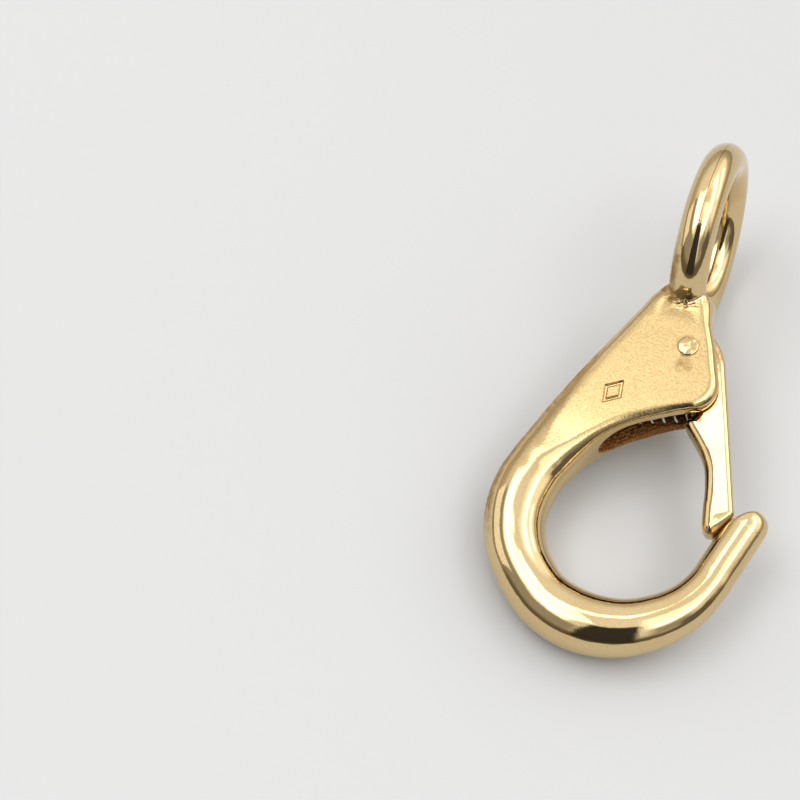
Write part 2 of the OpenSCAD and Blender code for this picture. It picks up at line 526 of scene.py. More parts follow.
@dataclass
class Skin:
    """Turns a solid into an even mesh of quads that lies on its surface.

    Attributes:
        solid: The solid to cover.
        low: Lowest corner of the space that it fills.
        high: Highest corner.
        step: Size of a quad, in millimetres.
        coarse: How many steps wide the blocks are that are sampled first.
        margin: How many blocks from the surface a block is still sampled closely.
        batch: About how many points are sampled at a time.
        flattest: The least squared slope that a move is worked out from.
    """

    solid: Solid
    low: Array
    high: Array
    step: float
    coarse: int = 4
    margin: float = 1.6
    batch: int = 100000
    flattest: float = 0.05

    def _sample(self) -> Array:
        """Samples the distance on a grid, closely only near the surface.

        Returns:
            A distance for each corner of the grid.
        """
        block = self.step * self.coarse
        cells = np.ceil((self.high - self.low) / block).astype(int)
        grid = np.indices(cells).reshape(3, -1).T
        far = self.solid.distance(self.low + (grid + 0.5) * block)
        near = grid[np.abs(far) < block * self.margin]
        values = np.kron(far.reshape(cells), np.ones([self.coarse] * 3))
        fine = np.indices([self.coarse] * 3).reshape(3, -1).T
        index = (near[:, None] * self.coarse + fine).reshape(-1, 3)
        for part in np.array_split(index, max(1, len(index) // self.batch)):
            values[tuple(part.T)] = self.solid.distance(self.low + part * self.step)
        return values

    def _net(self, values: Array) -> tuple[Array, Array]:
        """Puts a point in each cell that the surface crosses and joins them by quads.

        Args:
            values: The sampled distances.

        Returns:
            Points, and the four point numbers of each quad.
        """
        inside = values < 0
        count = sum(shifted(inside, c).astype(np.int8) for c in CORNERS)
        mixed = (count > 0) & (count < len(CORNERS))
        number = np.full(mixed.shape, -1)
        number[mixed] = np.arange(mixed.sum())
        cell = np.argwhere(mixed)
        total, hits = np.zeros((len(cell), 3)), np.zeros(len(cell))
        for way in WAYS:
            for corner in CORNERS:
                if way @ corner:
                    continue
                a = values[tuple((cell + corner).T)]
                b = values[tuple((cell + corner + way).T)]
                cross = (a < 0) != (b < 0)
                t = np.where(cross, a / np.where(cross, a - b, 1), 0)
                total += cross[:, None] * (np.array(corner) + t[:, None] * way)
                hits += cross
        points = self.low + (cell + total / hits[:, None]) * self.step
        quads = []
        for axis in range(3):
            way, one, two = np.roll(WAYS, -axis, 0)
            a = inside[tuple(slice(1, n - 1 - w) for n, w in zip(inside.shape, way))]
            b = inside[tuple(slice(1 + w, n - 1) for n, w in zip(inside.shape, way))]
            at = np.argwhere(a != b) + 1
            ring = [at - one - two, at - two, at, at - one]
            quad = np.column_stack([number[tuple(r.T)] for r in ring])
            flip = ~a[tuple((at - 1).T)]
            quad[flip] = quad[flip][:, ::-1]
            quads.append(quad)
        return points, np.vstack(quads)

    def settle(self, p: Array, rounds: int, reach: float = REACH) -> Array:
        """Moves points onto the surface.

        Args:
            p: The points.
            rounds: How many times the slope is taken.
            reach: Length over which the slope is taken.

        Returns:
            The moved points.
        """
        for _ in range(rounds):
            slope = self.solid.slope(p, reach)
            slope /= np.maximum((slope**2).sum(1), self.flattest)[:, None]
            for _ in range(2):
                move = -slope * self.solid.distance(p)[:, None]
                length = np.maximum(np.linalg.norm(move, axis=1), TINY)
                p = p + move * np.minimum(1, self.step / length)[:, None]
        return p

    def _relax(self, p: Array, quads: Array, rounds: int) -> Array:
        """Evens out the spacing of points that share quads.

        Args:
            p: The points.
            quads: The four point numbers of each quad.
            rounds: How many times each moves halfway to the middle of its neighbours.

        Returns:
            The moved points.
        """
        ends = np.vstack([quads[:, [k, (k + 1) % 4]] for k in range(4)])
        for _ in range(rounds):
            total = np.zeros_like(p)
            for axis in range(3):
                total[:, axis] = np.bincount(ends[:, 0], p[ends[:, 1], axis], len(p))
                total[:, axis] += np.bincount(ends[:, 1], p[ends[:, 0], axis], len(p))
            count = np.bincount(ends.ravel(), minlength=len(p))
            p = p + 0.5 * (total / count[:, None] - p)
        return p

    def cover(self) -> tuple[Array, Array]:
        """Builds the whole mesh.

        Returns:
            Points in millimetres, and the four point numbers of each quad.
        """
        points, quads = self._net(self._sample())
        points = self.settle(self._relax(points, quads, 3), rounds=1, reach=0.1)
        points = self.settle(self._relax(points, quads, 1), rounds=2)
        return points, quads


@dataclass
class SkinMesh:
    """A mesh over a solid while it is still being refined."""

    skin: Skin
    bm: bmesh.types.BMesh

    @classmethod
    def over(cls, skin: Skin) -> "SkinMesh":
        """Covers the skin's solid and opens the mesh for refining.

        Args:
            skin: The skin.

        Returns:
            The open mesh.
        """
        points, quads = skin.cover()
        mesh = bpy.data.meshes.new("skin")
        mesh.from_pydata(points.tolist(), [], quads.tolist())
        bm = bmesh.new()
        bm.from_mesh(mesh)
        bpy.data.meshes.remove(mesh)
        return cls(skin, bm)

    def points(self) -> Array:
        """All points of the mesh, in millimetres."""
        return np.array([v.co[:] for v in self.bm.verts], float)

    def refine(self, wanted: Array) -> None:
        """Splits the faces round the wanted points and puts the new points in place.

        Args:
            wanted: For each point of the mesh, whether its faces are split.
        """
        chosen = [v for v, take in zip(self.bm.verts, wanted) if take]
        faces = {f for v in chosen for f in v.link_faces}
        edges = list({e for f in faces for e in f.edges})
        old = set(self.bm.verts)
        bmesh.ops.subdivide_edges(self.bm, edges=edges, cuts=1, use_grid_fill=True)
        new = [v for v in self.bm.verts if v not in old]
        settled = self.skin.settle(np.array([v.co[:] for v in new], float), rounds=2)
        for v, co in zip(new, settled):
            v.co = co

    def edgy(self, turn: float) -> Array:
        """Finds the points at which the surface turns sharply.

        Args:
            turn: By how many degrees it turns from one point to the next, at least.

        Returns:
            For each point, whether it is one of them.
        """
        slope = unit_rows(self.skin.solid.slope(self.points(), REACH))
        self.bm.edges.ensure_lookup_table()
        self.bm.verts.index_update()
        ends = np.array([[e.verts[0].index, e.verts[1].index] for e in self.bm.edges])
        alike = (slope[ends[:, 0]] * slope[ends[:, 1]]).sum(1)
        sharp = alike < math.cos(math.radians(turn))
        out = np.zeros(len(slope), bool)
        out[ends[sharp].ravel()] = True
        return out

    def finish(self, name: str, axes: HookAxes) -> bpy.types.Object:
        """Closes the mesh and puts it in the frame with normals from the solid itself.

        Args:
            name: The piece's name.
            axes: Where the hook lies.

        Returns:
            The piece, linked to the scene.
        """
        points = self.points()
        normals = unit_rows(self.skin.solid.slope(points, 2 * REACH) @ axes.turn.T)
        mesh = bpy.data.meshes.new(name)
        self.bm.to_mesh(mesh)
        self.bm.free()
        mesh.vertices.foreach_set("co", axes.place(points).ravel())
        mesh.shade_smooth()
        mesh.normals_split_custom_set_from_vertices(normals.tolist())
        mesh.update()
        return link(name, mesh)


def link(name: str, data: bpy.types.ID) -> bpy.types.Object:
    """Makes an object for a mesh, light or camera and links it to the scene."""
    made = bpy.data.objects.new(name, data)
    bpy.context.scene.collection.objects.link(made)
    return made


def mark(mesh: bpy.types.Mesh, lay: Array, **masks: Array | float) -> None:
    """Keeps values for each point of a mesh, which its finish reads.

    Args:
        mesh: The mesh.
        lay: Place of each point across, through and along the metal, in millimetres.
        masks: Values by name, one for each point or one for all.
    """
    made = mesh.attributes.new("lay", "FLOAT_VECTOR", "POINT")
    made.data.foreach_set("vector", (lay * MM).astype(np.float32).ravel())
    for name, values in masks.items():
        row = np.broadcast_to(values, len(lay)).astype(np.float32)
        mesh.attributes.new(name, "FLOAT", "POINT").data.foreach_set("value", row)


def tube(name: str, rings: Array, axes: HookAxes) -> bpy.types.Object:
    """Lays a smooth skin over rings of points and closes both its ends.

    Args:
        name: The piece's name.
        rings: The points in the hook's own axes, ring by ring.
        axes: Where the hook lies.

    Returns:
        The piece, linked to the scene.
    """
    number = np.arange(rings.shape[0] * rings.shape[1]).reshape(rings.shape[:2])
    after = np.roll(number, -1, 1)
    sides = np.stack([number[:-1], after[:-1], after[1:], number[1:]], -1)
    ends = [number[0, ::-1].tolist(), number[-1].tolist()]
    faces = sides.reshape(-1, 4).tolist() + ends
    mesh = bpy.data.meshes.new(name)
    mesh.from_pydata(axes.place(rings.reshape(-1, 3)).tolist(), [], faces)
    mesh.shade_smooth()
    return link(name, mesh)


# ---- Shader maths ----

Number = "Sock | float"


@dataclass(frozen=True)
class Sock:
    """An output of a shader node that can be used in sums."""

    graph: "Graph"
    link: bpy.types.NodeSocket

    def _sum(self, operation: str, *values: Number) -> "Sock":
        """Adds one Math node."""
        settings, inputs = {"operation": operation}, dict(enumerate(values))
        return self.graph.out(self.graph.node("ShaderNodeMath", settings, inputs))

    def __add__(self, other: Number) -> "Sock":
        """Sum."""
        return self._sum("ADD", self, other)

    __radd__ = __add__

    def __mul__(self, other: Number) -> "Sock":
        """Product."""
        return self._sum("MULTIPLY", self, other)

    __rmul__ = __mul__

    def __sub__(self, other: Number) -> "Sock":
        """Difference."""
        return self._sum("SUBTRACT", self, other)

    def __rsub__(self, other: Number) -> "Sock":
        """Difference from a number."""
        return self._sum("SUBTRACT", other, self)

    def rise(self, start: float, end: float) -> "Sock":
        """0 before the start and 1 past the end, with a smooth rise between them."""
        made = self.graph.node(
            "ShaderNodeMapRange",
            {"interpolation_type": "SMOOTHSTEP"},
            {"Value": self, "From Min": start, "From Max": end},
        )
        return self.graph.out(made)


class Graph:
    """The shader nodes of one material or of the room."""

    def __init__(self, owner: bpy.types.Material | bpy.types.World) -> None:
        """Starts with no nodes."""
        self.owner = owner
        owner.use_nodes = True
        self.nodes = owner.node_tree.nodes
        self.nodes.clear()

    @classmethod
    def finish(cls, name: str) -> "Graph":
        """Starts a new material of that name."""
        return cls(bpy.data.materials.new(name))

    def node(self, kind: str, settings: dict, inputs: dict) -> bpy.types.Node:
        """Adds one node.

        Args:
            kind: The node's type.
            settings: Its properties, set before its sockets.
            inputs: Values or links of its input sockets, by name or number.

        Returns:
            The node.
        """
        made = self.nodes.new(kind)
        for key, value in settings.items():
            setattr(made, key, value)
        for key, value in inputs.items():
            if isinstance(value, Sock):
                self.owner.node_tree.links.new(value.link, made.inputs[key])
            else:
                made.inputs[key].default_value = value
        return made

    def out(self, node: bpy.types.Node, name: str | int = 0) -> Sock:
        """One output of a node, for sums."""
        return Sock(self, node.outputs[name])

    def mask(self, name: str) -> Sock:
        """A value that the mesh keeps for each point."""
        made = self.node("ShaderNodeAttribute", {"attribute_name": name}, {})
        return self.out(made, "Fac")

    def place(self) -> Sock:
        """Place on the piece at rest, in metres."""
        return self.out(self.node("ShaderNodeTexCoord", {}, {}), "Object")

    def lay(self) -> Sock:
        """Place across, through and along the metal, in metres."""
        made = self.node("ShaderNodeAttribute", {"attribute_name": "lay"}, {})
        return self.out(made, "Vector")

    def across(self) -> Sock:
        """Place across the metal, in metres."""
        return self.out(self.node("ShaderNodeSeparateXYZ", {}, {0: self.lay()}), 0)

    def noise(self, size: float, detail: float, long: float = 1.0) -> Sock:
        """Uneven value about 0.5.

        Args:
            size: Size of its patches, in metres.
            detail: How many finer layers it has.
            long: How many times longer its patches are along the metal.

        Returns:
            The value.
        """
        if long == 1.0:
            where = self.place()
        else:
            scaled = {0: self.lay(), 1: (1.0, 1.0, 1 / long)}
            made = self.node("ShaderNodeVectorMath", {"operation": "MULTIPLY"}, scaled)
            where = self.out(made)
        inputs = {"Vector": where, "Scale": 1 / size, "Detail": detail}
        return self.out(self.node("ShaderNodeTexNoise", {}, inputs), "Fac")

    def mix(self, share: Number, a: "Sock | tuple", b: "Sock | tuple") -> Sock:
        """Mixes two colours, the second by its share."""
        made = self.node("ShaderNodeMix", {"data_type": "RGBA"}, {0: share, 6: a, 7: b})
        return self.out(made, 2)

    def bump(self, height: Sock, depth: float, strength: float = 1.0) -> Sock:
        """Relief of that depth in metres, for a normal."""
        inputs = {"Height": height, "Distance": depth, "Strength": strength}
        return self.out(self.node("ShaderNodeBump", {}, inputs))

    def close(self, inputs: dict) -> bpy.types.Material:
        """Ends the material in a surface with those inputs."""
        surface = self.node("ShaderNodeBsdfPrincipled", {}, inputs)
        self.node("ShaderNodeOutputMaterial", {}, {"Surface": self.out(surface)})
        return self.owner


def rgb(red: float, green: float, blue: float) -> tuple[float, float, float, float]:
    """A plain colour from its shares of light."""
    return (red, green, blue, 1.0)


@dataclass(frozen=True)
class PolishedBrass:
    """Yellow cast brass, tumbled and polished outside, as cast inside.

    Attributes:
        name: The material's name.
        bright: Colour of the clean metal.
        deep: Its colour in cloudy patches.
        tarnish: Colour of stains, and of the painted shade and painted dark reflections
            that share their mask.
        cast: Colour of the rough skin that the mould left.
        cast_dark: Colour of the hollows in that skin.
        skin: Colour of the metal where it is satin.
        pits: Colour of its fine pits.
        gloss: Roughness where it is polished.
        satin: Roughness where it is satin.
        cast_rough: Roughness where it is as cast.
        stain_and_shade_rough: What stains and painted shade add to the roughness.
        cast_metal: What the cast skin takes off the metallic look.
        stain_and_shade_metal: What stains and painted shade take off it.
        relief: Depth of the grain in metres.
    """

    name: str
    bright: tuple = rgb(0.70, 0.535, 0.285)
    deep: tuple = rgb(0.66, 0.475, 0.225)
    tarnish: tuple = rgb(0.25, 0.125, 0.030)
    cast: tuple = rgb(0.40, 0.185, 0.055)
    cast_dark: tuple = rgb(0.20, 0.080, 0.022)
    skin: tuple = rgb(0.525, 0.385, 0.182)
    pits: tuple = rgb(0.30, 0.17, 0.06)
    gloss: float = 0.055
    satin: float = 0.28
    cast_rough: float = 0.6
    stain_and_shade_rough: float = 0.25
    cast_metal: float = 0.45
    stain_and_shade_metal: float = 0.82
    relief: float = 0.000012

    def material(self) -> bpy.types.Material:
        """Builds the finish.

        Returns:
            The material, which reads its mesh's masks cast, satin, tarnish and seam.
            The tarnish mask holds real stains and also painted shade and painted dark
            reflections.
        """
        g = Graph.finish(self.name)
        cast, satin, tarnish = g.mask("cast"), g.mask("satin"), g.mask("tarnish")
        off_seam = g.across() * (1 / MM)
        seam = g.mask("seam") * (off_seam * off_seam).rise(0.028, 0.003)
        cloudy = g.noise(0.006, 3.0)
        spots = g.noise(0.0011, 3.0)
        grains = g.noise(0.0003, 3.0)
        specks = g.noise(0.00034, 1.0)
        streaks = g.noise(0.00035, 3.0, 22.0)
        colour = g.mix(cloudy.rise(0.35, 0.7) * 0.6, self.bright, self.deep)
        colour = g.mix(satin * (0.75 + spots * 0.5), colour, self.skin)
        pitted = specks.rise(0.40, 0.66) * (0.10 + satin * 0.22)
        colour = g.mix(pitted, colour, self.pits)
        patchy = 0.3 + cloudy * 0.7 + streaks * 0.7 + (spots - 0.5) * 1.6
        # The stained share holds real tarnish and also painted shade and painted dark
        # reflections, all in the tarnish colour.
        stain = (tarnish * patchy).rise(0.25, 1.25)
        colour = g.mix(stain * 0.85 + seam * 0.5, colour, self.tarnish)
        grit = g.mix(grains.rise(0.40, 0.62), self.cast_dark, self.cast)
        colour = g.mix(cast, colour, grit)
        rough = self.gloss + satin * (self.satin - self.gloss) + (cloudy - 0.5) * 0.04
        rough = rough + (streaks - 0.45) * 0.08 * (1.0 - satin)
        rough = rough + stain * self.stain_and_shade_rough
        rough = rough + cast * (self.cast_rough - rough)
        waves = g.noise(0.0032, 1.0) * 1.3 + g.noise(0.0011, 1.0) * 0.3
        speckle = specks * (0.3 + satin * 1.5)
        height = waves + speckle + streaks * (0.6 - 0.6 * satin)
        height = height + grains * cast * 9.0 + seam * 1.6
        bare = (1.0 - cast * self.cast_metal) * (1.0 - stain * self.stain_and_shade_metal)
        return g.close(
            {
                "Base Color": colour,
                "Metallic": bare,
                "Specular IOR Level": 0.0,
                "Roughness": rough,
                "Normal": g.bump(height, self.relief),
            }
        )


@dataclass(frozen=True)
class SpringSteel:
    """Bright drawn spring wire with faint drawing marks."""

    name: str = "spring_steel"
    colour: tuple = rgb(0.60, 0.59, 0.58)
    stain: tuple = rgb(0.30, 0.25, 0.20)

    def material(self) -> bpy.types.Material:
        """Builds the finish.

        Returns:
            The material.
        """
        g = Graph.finish(self.name)
        patch = g.noise(0.0012, 2.0)
        marks = g.noise(0.00012, 2.0)
        stained = patch.rise(0.55, 0.8) * 0.6
        return g.close(
            {
                "Base Color": g.mix(stained, self.colour, self.stain),
                "Metallic": 1.0,
                "Roughness": 0.22 + patch * 0.16,
                "Normal": g.bump(marks, 0.00001, 0.5),
            }
        )


# ---- The pieces ----

# The rivet's place in plan, and half the height of a cut that goes right through.
PIVOT = np.array([3.08, 53.14])
THROUGH = 9.6


@dataclass
class HookBody(Solid):
    """The casting: rigid eye, slotted head, shank, bend and nose.

    Its sizes are in millimetres and degrees.

    Attributes:
        BEND: Places round the bend. Each gives an angle, how far the rod's middle lies
            outside the bend's radius, and what is added to the rod's radius.
        face: Height above which the front bears the mark and the wrinkles at the eye.
        dark_patch_off: The dark patch's place, from the rivet.
    """

    BEND: ClassVar = (
        (172, -0.31, 0.06), (184, -0.18, 0.00), (196, -0.08, -0.11), (208, 0.00, -0.16),
        (220, -0.02, -0.32), (232, 0.05, -0.36), (244, 0.28, -0.32), (256, 0.29, -0.24),
        (268, 0.25, -0.27), (280, 0.18, -0.43), (292, 0.10, -0.69), (304, -0.03, -0.95),
        (316, -0.03, -1.26), (328, -0.07, -1.58), (340, -0.17, -1.85),
    )

    eye_centre: Array = spot(0, 76.0, 0)
    eye_radius: float = 13.2
    eye_thickness: float = 6.0
    eye_fillet: float = 2.4
    head_half: float = 4.8
    slot_width: float = 5.6
    slot_round: float = 0.35
    slot_root: Array = spot(-2.8, 37.9)
    slot_angle: float = 56.0
    slot_length: float = 5.0
    hub_space: float = 5.4
    bend_centre: Array = spot(1.0, 23.0)
    bend_radius: float = 16.5
    rod_radius: float = 5.0
    nose_radius: float = 3.1
    nose_tip: Array = spot(19.1, 27.1)
    tip_length: float = 3.52
    seat_gap: float = 0.06
    seat_angle: float = 58.0
    bore_radius: float = 1.62
    seam_at: float = 0.25
    face: float = 3.0
    mark_at: Array = spot(-5.92, 42.4)
    mark_room: float = 3.5
    mark_angle: float = 65.0
    mark_half: Array = spot(2.5, 1.7)
    mark_stroke: float = 0.5
    mark_depth: float = 0.3
    grain_depth: float = 0.06
    root_depth: float = 0.07
    root_reach: float = 1.5
    dark_patch_off: Array = spot(0.3, -3.4)
    dark_patch: float = 0.62
    # Strength of the painted shade in the gap round the rivet's head.
    rivet_gap_shade: float = 0.5
    step: float = 0.36

    def __post_init__(self) -> None:
        """Builds the simple solids that the casting is joined and cut from."""
        slot = self.slot_width / 2
        self.bar = RowSweep(np.vstack([self._head_rows(), self._rod_rows()]))
        self.ring = Ring(self.eye_centre, self.eye_radius, self.eye_thickness)
        self.tip = RoundTip(
            self.nose_tip, self.nose_way, self.nose_radius, self.tip_length
        )
        open_side = plan_points(
            (-5.2, 33.8), (-4.9, 37.2), (-4.66, 38.4), (-6.34, 43.3), (-3.6, 48.5),
            (-2.6, 52.0), (3.08, 59.0), (20.0, 59.0), (20.0, 30.0),
        )
        self.slot_side = Prism(open_side, -slot, slot)
        self.slot_hub = Disc(PIVOT, self.hub_space, slot)
        way = -heading(self.slot_angle)
        self.slot_end = SlotEnd(self.slot_root, way, slot, self.slot_length)
        back_cheek = plan_points(
            (-1.4, 38.7), (1.2, 40.85), (3.85, 42.5), (6.0, 43.55), (7.4, 44.2),
            (9.0, 44.6), (12.0, 40.0), (0.0, 34.0),
        )
        self.back_trim = Prism(back_cheek, -THROUGH, 0.5 - slot)
        seat = plan_points(
            (12.82, 21.5), (16.5, 27.4), (21.1, 31.25), (16.0, 36.0), (8.0, 30.0)
        )
        seat += self.seat_gap * right_of(heading(self.seat_angle))
        self.seat = Prism(seat, -THROUGH, THROUGH)
        self.bore = Disc(PIVOT, self.bore_radius, THROUGH)
        self.grain = Grain(shortest=0.5, longest=1.9, seed=7)

    @property
    def nose_way(self) -> Array:
        """Direction in which the nose points."""
        way = self.nose_tip - self._bend_point(*self.BEND[-1][:2])
        return way / math.hypot(*way)

    def _bend_point(self, angle: float, outside: float) -> Array:
        """Point on the bend's centre line at an angle, moved outwards a little."""
        return self.bend_centre + (self.bend_radius + outside) * heading(angle)

    def _head_rows(self) -> Array:
        """Lists cross-sections of the head and shank, from the eye to the bend.

        Returns:
            Rows for a RowSweep.
        """
        h = self.head_half
        rows = [
            (-3.60, 63.60, 3.40, 63.20, h - 3.2, 1.6, 1.6, 1.2, 1.2, 1.00),
            (-4.10, 63.10, 3.90, 62.80, h - 2.3, 2.4, 1.6, 1.4, 1.6, 1.10),
            (-4.70, 62.20, 4.20, 61.90, h - 1.3, 3.6, 1.6, 1.5, 1.8, 1.20),
            (-5.43, 60.90, 4.60, 60.40, h - 0.3, 5.4, 1.6, 1.6, 1.9, 1.32),
            (-6.52, 58.50, 5.60, 58.00, h, 5.8, 1.6, 1.7, 1.9, 1.35),
            (-7.88, 55.50, 7.30, 54.20, h, 5.8, 1.7, 1.8, 1.9, 1.35),
            (-9.01, 53.00, 8.50, 50.90, h, 5.8, 1.7, 1.8, 1.9, 1.35),
            (-9.92, 51.00, 9.40, 48.40, h, 5.8, 1.7, 1.8, 1.9, 1.34),
            (-10.60, 49.50, 9.55, 46.60, h, 5.8, 1.7, 1.8, 1.9, 1.32),
            (-11.19, 48.20, 9.00, 44.80, h, 5.8, 1.9, 1.8, 1.9, 1.30),
            (-11.64, 47.20, 7.90, 43.50, h, 5.8, 2.2, 1.8, 2.0, 1.28),
            (-12.09, 46.20, 6.40, 42.75, h, 5.7, 2.4, 1.8, 2.1, 1.26),
            (-12.64, 45.00, 4.20, 41.75, h, 5.6, 2.4, 1.8, 2.2, 1.24),
            (-13.32, 43.50, 1.60, 40.30, h, 5.5, 2.4, 1.8, 2.4, 1.20),
            (-14.00, 42.00, -0.85, 38.85, h, 5.3, 2.3, 1.9, 2.6, 1.16),
            (-14.68, 40.50, -2.70, 37.45, h, 5.1, 2.2, 2.1, 2.9, 1.12),
            (-15.36, 39.00, -4.30, 35.90, h, 5.0, 2.1, 2.4, 3.2, 1.08),
            (-16.13, 37.30, -5.90, 33.90, h, 4.9, 2.4, 3.0, 3.6, 1.05),
            (-16.88, 35.45, -7.20, 31.60, h, 4.8, 3.0, 3.8, 4.1, 1.02),
            (-17.68, 33.40, -8.35, 29.40, h + 0.1, 4.8, 3.9, 4.4, 4.5, 1.00),
            (-18.42, 31.60, -9.10, 27.70, h + 0.2, 4.9, 4.6, 4.7, 4.8, 1.00),
            (-19.20, 29.20, -9.65, 26.35, self.rod_radius, 5.0, 4.9, 4.9, 5.0, 1.00),
        ]
        return np.array(rows)

    def _rod_rows(self) -> Array:
        """Works out round cross-sections of the bend and the nose.

        Returns:
            Rows for a RowSweep.
        """
        spots = [
            (self._bend_point(angle, outside), heading(angle), self.rod_radius + wider)
            for angle, outside, wider in self.BEND
        ]
        start, out = spots[-1][0], right_of(self.nose_way)
        for share in (0.25, 0.5, 0.75, 1.0):
            centre = start + share * (self.nose_tip - start)
            spots.append((centre, out, self.nose_radius))
        rows = []
        for centre, out, r in spots:
            rows.append([*(centre + r * out), *(centre - r * out), *[r] * 5, 1.0])
        return np.array(rows)

    def mark_profile(self, p: Array) -> Array:
        """Shape of the sunk lozenge.

        Args:
            p: Points, one a row.

        Returns:
            Its depth at each point, 0 to 1.
        """
        way = heading(self.mark_angle)
        q = p[:, :2] - self.mark_at
        x = np.abs(q @ way) / self.mark_half[0]
        y = np.abs(q @ right_of(way)) / self.mark_half[1]
        slant = math.hypot(*(1 / self.mark_half))
        from_line = np.abs((x + y - 1) / slant + self.mark_stroke / 2)
        return ramp(from_line, self.mark_stroke / 2 + 0.12, 0.08)

    def slot_distance(self, p: Array) -> Array:
        """Distance from everything that the gate's slot takes out."""
        wide = np.minimum(self.slot_side.distance(p), self.slot_hub.distance(p))
        plan = np.minimum(wide, self.slot_end.distance(p))
        narrow = -blend_in(-plan, -self.slot_end.narrowing(p), 0.6)
        return blend_in(narrow, self.back_trim.distance(p), 0.3)

    def distance(self, p: Array) -> Array:
        """Distance from the casting's surface."""
        bar = np.minimum(self.bar.distance(p), self.tip.distance(p))
        ring = self.ring.distance(p)
        beside = ramp(np.abs(p[:, 0]), 1.0, 3.6) * ramp(np.abs(p[:, 2]), 6.4, 4.0)
        out = blend_in(bar, ring, self.eye_fillet * (0.6 + 1.5 * beside))
        on_face = p[:, 2] > self.face
        off_root = np.maximum(np.abs(bar), np.abs(ring))
        root = (off_root < self.root_reach) & on_face
        share = ramp(off_root[root], self.root_reach, 0.4)
        share *= ramp(p[root, 2], self.face, 4.2)
        out[root] += self.root_depth * self.grain(p[root]) * share
        at_mark = (np.abs(p[:, :2] - self.mark_at).max(1) < self.mark_room) & on_face
        out[at_mark] += self.mark_depth * self.mark_profile(p[at_mark])
        slot = self.slot_distance(p)
        near = (np.abs(slot) < 1.0) & (out < -0.2)
        share = ramp(-out[near], 0.2, 1.0)
        slot[near] += self.grain_depth * self.grain(p[near]) * share
        out = cut_away(out, slot, self.slot_round)
        out = cut_away(out, self.seat.distance(p), 0.5)
        return np.maximum(out, -self.bore.distance(p))

    def build(self, axes: HookAxes) -> bpy.types.Object:
        """Builds the casting's mesh and its masks.

        Args:
            axes: Where the hook lies.

        Returns:
            The piece.
        """
        low, high = np.array([[-22.0, 0.0, -17.5], [24.5, 94.0, 17.5]])
        mesh = SkinMesh.over(Skin(self, low, high, self.step))
        mesh.refine(mesh.edgy(22))
        for _ in range(2):
            p = mesh.points()
            near = np.abs(self.mark_profile(p) - 0.5) < 0.499
            near |= np.abs(apart(p, PIVOT) - self.bore_radius) < 0.3
            mesh.refine(near & (p[:, 2] > self.head_half - 0.8))
        p = mesh.points()
        piece = mesh.finish("cast_body", axes)
        self._mask(piece.data, p)
        return piece

    def _mask(self, mesh: bpy.types.Mesh, p: Array) -> None:
        """Marks where the casting is as cast, satin or stained, where its seam is, and
        where shade and dark reflections are painted on in the tarnish colour.

        The limits of the ramps are millimetres in the hook's own axes.

        Args:
            mesh: The finished mesh.
            p: Its points in the hook's own axes.
        """
        x, y, z = p.T
        bar, ring = self.bar.distance(p), self.ring.distance(p)
        on_ring = ring < bar
        _, up, out = (p - self.eye_centre).T
        lay = self.bar.lay(p)
        inward = self.bar.half_width(p) + lay[:, 0]
        down = np.arctan2(up, out) * self.eye_radius
        ring_lay = np.column_stack([x - self.seam_at, np.hypot(up, out), down])
        lay[on_ring] = ring_lay[on_ring]
        outer_side = on_ring & (lay[:, 1] > self.eye_radius + 0.6) & (up > -6)
        in_slot = ramp(self.slot_distance(p), 0.32, 0.12)
        on_seat = ramp(np.abs(self.seat.distance(p)), 0.25, 0.08)
        fade = 0.12 + 1.6 * ramp(y, 46, 36)
        flat = ramp(np.abs(z), self.head_half - 0.05 - fade, self.head_half - 0.03)
        # Tarnish in the eye-root fillet; the extra share on the root's left side is
        # painted dark reflection.
        root = ramp(np.abs(bar) + np.abs(ring), 2.6, 0.9) * ramp(y, 58, 61)
        root *= 0.5 + 0.7 * ramp(-x, 0.5, 2.5)
        # A darker patch on the face below the rivet.
        dark_patch = ramp(apart(p, PIVOT + self.dark_patch_off), 2.8, 0.6) * self.dark_patch
        # Painted shade: a dark ring on the face round the rivet's head, standing in for
        # the gap there.
        dark_patch += ramp(np.abs(apart(p, PIVOT) - 1.85), 0.3, 0.05) * self.rivet_gap_shade
        # Painted dark reflection on the eye's left flank above the root.
        painted_flank_reflection = on_ring * ramp(-x, 0.7, 2.0) * ramp(y, 72, 63) * ramp(z, -3, 3)
        # Painted dark reflection: darkens the hook's left edge where it would mirror
        # dark surroundings.
        rim = ramp(inward, 2.2, 1.2) * (x < -5) * ramp(z, -3.0, 0.6)
        rim *= ramp(y, 7, 22) * ramp(y, 60, 42)
        mark(
            mesh,
            lay,
            seam=outer_side,
            cast=np.maximum(in_slot, on_seat * 0.6),
            satin=flat * ramp(y, 20, 43) * ramp(ring, 0.2, 1.0),
            tarnish=np.clip(root + dark_patch + rim + painted_flank_reflection, 0, 1),
        )


